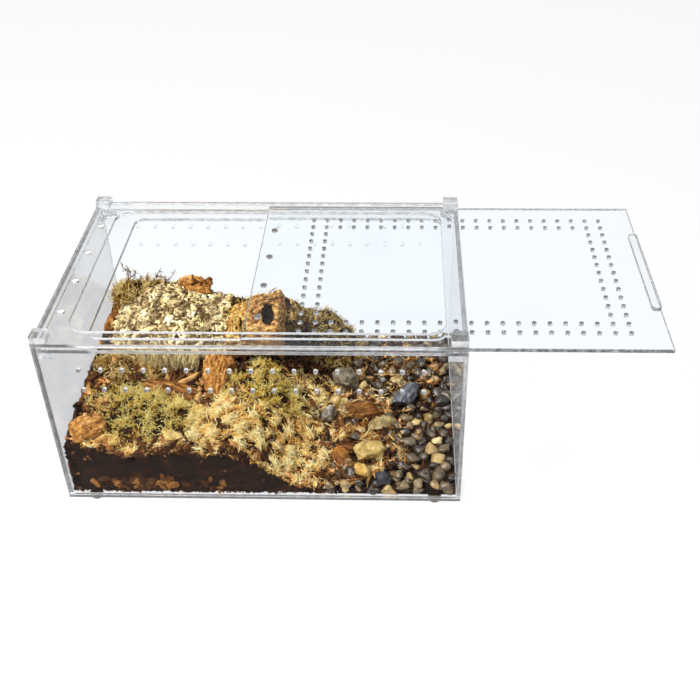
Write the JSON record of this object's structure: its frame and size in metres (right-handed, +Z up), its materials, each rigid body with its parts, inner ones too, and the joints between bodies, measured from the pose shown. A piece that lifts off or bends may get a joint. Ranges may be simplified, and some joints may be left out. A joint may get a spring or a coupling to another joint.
{
  "type": "reptile terrarium",
  "caption": "Clear acrylic reptile terrarium with a vented lid that slides between two top frames, on feet, planted with soil, gravel, moss, a cork hide, a hollow log and stones.",
  "frame": {"origin": "on the ground under the middle of the part's bounding box, with the lid in its open resting place", "axes": "+X to the right, the way the lid pulls out; -Y is the front; +Z up"},
  "size_m": [0.4394, 0.2, 0.156],
  "materials": {
    "clear_acrylic": "clear cast acrylic sheet, polished edges",
    "acrylic_block": "clear acrylic, sawn and polished",
    "magnet_steel": "nickel-plated magnet faces",
    "clear_bumper": "soft translucent bumper",
    "soil": null,
    "gravel": "tumbled river gravel",
    "lichen_bark": "cork bark with pale lichen",
    "cork": "fibrous orange cork",
    "bark": "rough brown bark",
    "pale_wood": "sawn pale twig",
    "grey_stone": "smooth grey stone",
    "olive_stone": "smooth pale olive stone",
    "amber_stone": "smooth amber stone",
    "black_stone": "smooth black stone",
    "moss": "dried moss",
    "moss_fibre": "shredded straw and sphagnum fibre"
  },
  "bodies": {
    "case": {"base_panel": "clear_acrylic", "front_wall": "clear_acrylic", "back_wall": "clear_acrylic", "left_wall": "clear_acrylic", "right_wall": "clear_acrylic", "lower_frame": "clear_acrylic", "upper_frame": "clear_acrylic", "gusset_front_left": "acrylic_block", "gusset_front_right": "acrylic_block", "gusset_back_left": "acrylic_block", "gusset_back_right": "acrylic_block", "block_front_left": "acrylic_block", "block_front_right": "acrylic_block", "block_back_left": "acrylic_block", "block_back_right": "acrylic_block", "foot_front_left": "clear_bumper", "foot_front_right": "clear_bumper", "foot_back_left": "clear_bumper", "foot_back_right": "clear_bumper", "frame_magnets": "magnet_steel", "soil_bed": "soil", "gravel_bed": "gravel", "cork_hide": "lichen_bark", "cork_log": "cork", "bark_slab": "cork", "wood_knot": "cork", "bark_chunk": "bark", "bark_lump": "bark", "bark_flake": "bark", "wood_block": "bark", "twig_slice": "pale_wood", "stone_back": "grey_stone", "stone_mid": "grey_stone", "stone_wedge": "grey_stone", "stone_flat": "olive_stone", "stone_front": "olive_stone", "stone_amber": "amber_stone", "stone_dark": "black_stone", "moss_front": "moss", "moss_side": "moss", "moss_corner": "moss", "moss_centre": "moss", "moss_back": "moss", "moss_straw": "moss_fibre", "sprigs": "bark"},
    "sliding_lid": {"lid": "clear_acrylic", "lid_handle": "acrylic_block", "lid_magnets": "magnet_steel"}
  },
  "joints": [
    {"name": "lid_slide", "type": "slide", "parent": "case", "child": "sliding_lid", "axis": [1, 0, 0], "range_m": [-0.132, 0.11]}
  ]
}
